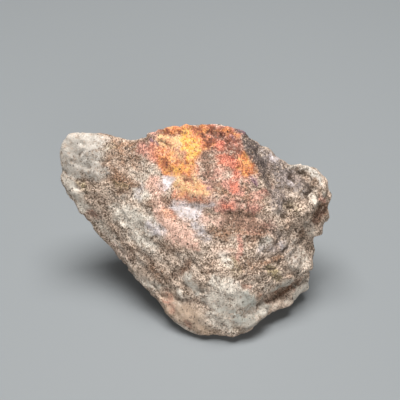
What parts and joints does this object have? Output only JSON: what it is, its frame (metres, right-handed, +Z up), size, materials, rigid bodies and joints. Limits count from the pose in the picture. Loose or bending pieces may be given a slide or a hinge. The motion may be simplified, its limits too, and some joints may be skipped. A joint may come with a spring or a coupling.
{
  "type": "rough tugtupite stone",
  "caption": "Rough, unpolished grainy mineral stone with a broad front face, an overhanging nose, a lumpy knob and a flat broken face to rest on.",
  "frame": {"origin": "middle of the stone's bounding box in plan, at the level of the surface that it rests on", "axes": "+Z up from the resting face, +X from the overhanging nose towards the lumpy knob, -Y towards the side that the broad front face looks to"},
  "size_m": [0.073, 0.049, 0.0472],
  "materials": {
    "stone": "rough, broken and grainy, with dull and slightly glassy patches"
  },
  "bodies": {
    "root": {"stone": "stone"}
  },
  "joints": []
}
